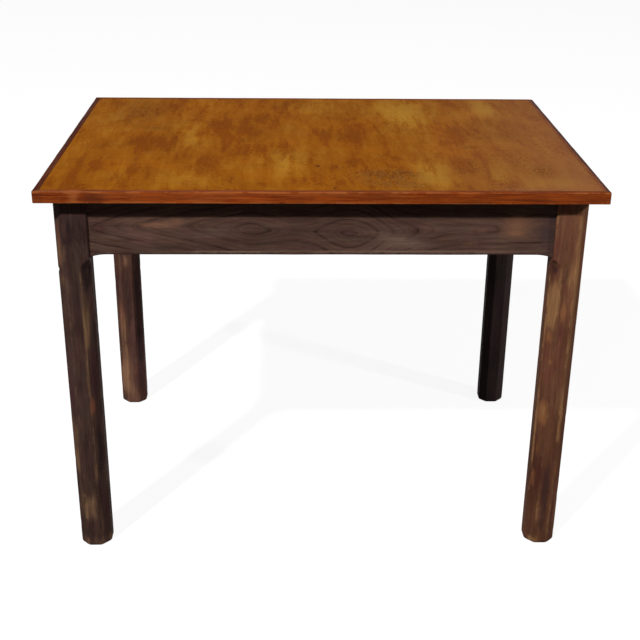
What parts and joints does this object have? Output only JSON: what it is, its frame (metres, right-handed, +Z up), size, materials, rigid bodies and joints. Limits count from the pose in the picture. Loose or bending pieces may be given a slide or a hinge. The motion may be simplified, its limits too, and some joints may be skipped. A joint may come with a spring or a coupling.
{
  "type": "work table",
  "caption": "Small rectangular table: a veneered top with solid-wood lipping on straight, stop-chamfered legs joined by tenoned aprons.",
  "frame": {"origin": "on the floor, under the middle of the top", "axes": "+X along the width, to the right for someone facing the front; +Y towards the back; +Z up"},
  "size_m": [1, 0.715, 0.744],
  "materials": {
    "top_veneer": "thin worn satin varnish on golden-brown veneer",
    "lipping_wood": "satin varnish on reddish-brown solid wood",
    "frame_wood": "dark brown stain, worn through to lighter wood on arrises and in patches",
    "core_wood": "raw panel board",
    "backing_veneer": "unfinished veneer",
    "block_wood": "unfinished hardwood",
    "screw_steel": "dulled zinc-plated steel"
  },
  "bodies": {
    "root": {"top_core": "core_wood", "top_face_veneer": "top_veneer", "top_backing_veneer": "backing_veneer", "lipping_front": "lipping_wood", "lipping_back": "lipping_wood", "lipping_left": "lipping_wood", "lipping_right": "lipping_wood", "apron_front": "frame_wood", "apron_back": "frame_wood", "apron_left": "frame_wood", "apron_right": "frame_wood", "leg_front_left": "frame_wood", "leg_front_right": "frame_wood", "leg_back_left": "frame_wood", "leg_back_right": "frame_wood", "corner_block_front_left": "block_wood", "corner_block_front_right": "block_wood", "corner_block_back_left": "block_wood", "corner_block_back_right": "block_wood", "corner_block_screws": "screw_steel", "top_buttons": "block_wood", "top_button_screws": "screw_steel"}
  },
  "joints": []
}
